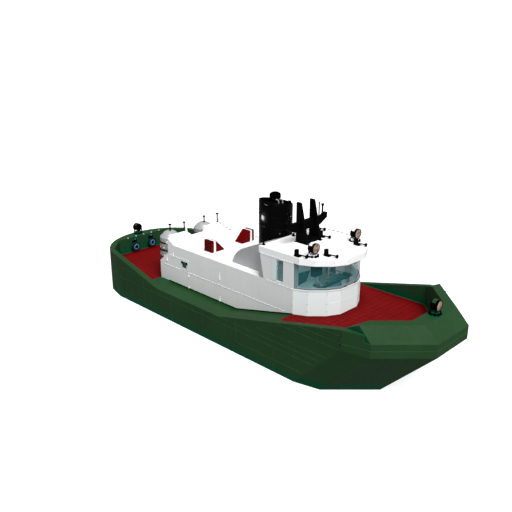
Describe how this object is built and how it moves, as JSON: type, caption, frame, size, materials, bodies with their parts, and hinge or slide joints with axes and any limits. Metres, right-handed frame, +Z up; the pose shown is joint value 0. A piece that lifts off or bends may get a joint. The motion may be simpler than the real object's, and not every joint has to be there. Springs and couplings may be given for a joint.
{
  "type": "harbour tugboat",
  "caption": "Flat-bottomed harbour tug with a green hull, white deckhouse, round-fronted wheelhouse, black funnel and fin mast; screws, rudders and searchlights turn.",
  "frame": {"origin": "on the flat bottom of the hull, at the middle of the length and of the breadth", "axes": "+X to the bow, +Y to port, +Z up"},
  "size_m": [18, 5.5, 5.85],
  "materials": {
    "hull_green": "satin green paint",
    "deck_red": "non-slip red deck paint",
    "house_white": "satin white paint",
    "house_grey": "satin light grey paint",
    "gloss_black": "gloss black paint",
    "vent_red": "dark red paint",
    "window_glass": "clear teal-tinted glass",
    "cabin_brown": "dark cabin panelling",
    "reel_blue": "blue and black paint",
    "steel_grey": "grey primer",
    "screw_bronze": "cast bronze"
  },
  "bodies": {
    "boat": {"hull": "hull_green", "aft_deck": "deck_red", "fore_deck": "deck_red", "casing_side_starboard": "house_white", "casing_side_port": "house_white", "casing_window_starboard": "window_glass", "casing_window_port": "window_glass", "aft_trunk_starboard": "house_grey", "aft_trunk_port": "house_grey", "casing_aft_wall": "house_white", "casing_roof": "house_white", "vent_starboard": "vent_red", "vent_port": "vent_red", "funnel_housing": "house_grey", "funnel": "gloss_black", "exhaust_cap": "gloss_black", "wheelhouse_front": "house_white", "windscreen": "window_glass", "windscreen_frame": "house_white", "wheelhouse_side_starboard": "house_white", "wheelhouse_side_port": "house_white", "side_window_starboard": "window_glass", "side_window_port": "window_glass", "wheelhouse_roof": "house_white", "wheelhouse_bulkhead": "house_white", "wheelhouse_floor": "cabin_brown", "helm_console": "cabin_brown", "overhead_panel": "gloss_black", "helm_seat": "gloss_black", "mast": "gloss_black", "reel_stand_starboard": "gloss_black", "reel_stand_port": "gloss_black", "engine": "steel_grey"},
    "door": {"casing_door": "house_white"},
    "bow_light_yoke": {"searchlight_bow_yoke": "hull_green"},
    "bow_light": {"searchlight_bow_lamp": "gloss_black"},
    "roof_starboard_light_yoke": {"searchlight_roof_starboard_yoke": "house_white"},
    "roof_starboard_light": {"searchlight_roof_starboard_lamp": "gloss_black"},
    "roof_port_light_yoke": {"searchlight_roof_port_yoke": "house_white"},
    "roof_port_light": {"searchlight_roof_port_lamp": "gloss_black"},
    "stern_light_yoke": {"searchlight_stern_yoke": "hull_green"},
    "stern_light": {"searchlight_stern_lamp": "gloss_black"},
    "starboard_reel": {"hose_reel_starboard": "reel_blue"},
    "port_reel": {"hose_reel_port": "reel_blue"},
    "starboard_screw": {"propeller_starboard": "screw_bronze"},
    "port_screw": {"propeller_port": "screw_bronze"},
    "starboard_rudder": {"rudder_starboard": "steel_grey"},
    "port_rudder": {"rudder_port": "steel_grey"}
  },
  "joints": [
    {"name": "door_swing", "type": "hinge", "parent": "boat", "child": "door", "pos_m": [0.025, 1.785, 2.125], "axis": [0, 0, -1], "range_deg": [0, 100]},
    {"name": "bow_light_pan", "type": "hinge", "parent": "boat", "child": "bow_light_yoke", "pos_m": [8.25, 0, 3.05], "axis": [0, 0, 1], "range_deg": [-170, 170]},
    {"name": "bow_light_tilt", "type": "hinge", "parent": "bow_light_yoke", "child": "bow_light", "pos_m": [8.25, 0, 3.325], "axis": [0, -1, 0], "range_deg": [-20, 60]},
    {"name": "roof_starboard_light_pan", "type": "hinge", "parent": "boat", "child": "roof_starboard_light_yoke", "pos_m": [3.975, -1.2375, 4.3], "axis": [0, 0, 1], "range_deg": [-170, 170]},
    {"name": "roof_starboard_light_tilt", "type": "hinge", "parent": "roof_starboard_light_yoke", "child": "roof_starboard_light", "pos_m": [3.975, -1.2375, 4.575], "axis": [0, -1, 0], "range_deg": [-20, 60]},
    {"name": "roof_port_light_pan", "type": "hinge", "parent": "boat", "child": "roof_port_light_yoke", "pos_m": [3.975, 1.2375, 4.3], "axis": [0, 0, 1], "range_deg": [-170, 170]},
    {"name": "roof_port_light_tilt", "type": "hinge", "parent": "roof_port_light_yoke", "child": "roof_port_light", "pos_m": [3.975, 1.2375, 4.575], "axis": [0, -1, 0], "range_deg": [-20, 60]},
    {"name": "stern_light_pan", "type": "hinge", "parent": "boat", "child": "stern_light_yoke", "pos_m": [-8.75, 0, 2.05], "axis": [0, 0, 1], "range_deg": [-170, 170]},
    {"name": "stern_light_tilt", "type": "hinge", "parent": "stern_light_yoke", "child": "stern_light", "pos_m": [-8.75, 0, 2.325], "axis": [0, 1, 0], "range_deg": [-20, 60]},
    {"name": "starboard_reel_turn", "type": "hinge", "parent": "boat", "child": "starboard_reel", "pos_m": [-8.2325, -0.5175, 1.525], "axis": [1, 0, 0], "continuous": true},
    {"name": "port_reel_turn", "type": "hinge", "parent": "boat", "child": "port_reel", "pos_m": [-8.2325, 0.475, 1.525], "axis": [1, 0, 0], "continuous": true},
    {"name": "starboard_screw_turn", "type": "hinge", "parent": "boat", "child": "starboard_screw", "pos_m": [-6.65, -0.9625, 0.5125], "axis": [1, 0, 0], "continuous": true},
    {"name": "port_screw_turn", "type": "hinge", "parent": "boat", "child": "port_screw", "pos_m": [-6.65, 0.9625, 0.5125], "axis": [1, 0, 0], "continuous": true},
    {"name": "starboard_rudder_turn", "type": "hinge", "parent": "boat", "child": "starboard_rudder", "pos_m": [-7.4, -0.9625, 0.5], "axis": [0, 0, 1], "range_deg": [-35, 35]},
    {"name": "port_rudder_turn", "type": "hinge", "parent": "boat", "child": "port_rudder", "pos_m": [-7.4, 0.9625, 0.5], "axis": [0, 0, 1], "range_deg": [-35, 35]}
  ],
  "couplings": [
    {"joint": "port_rudder_turn", "follows": "starboard_rudder_turn", "ratio": 1}
  ]
}
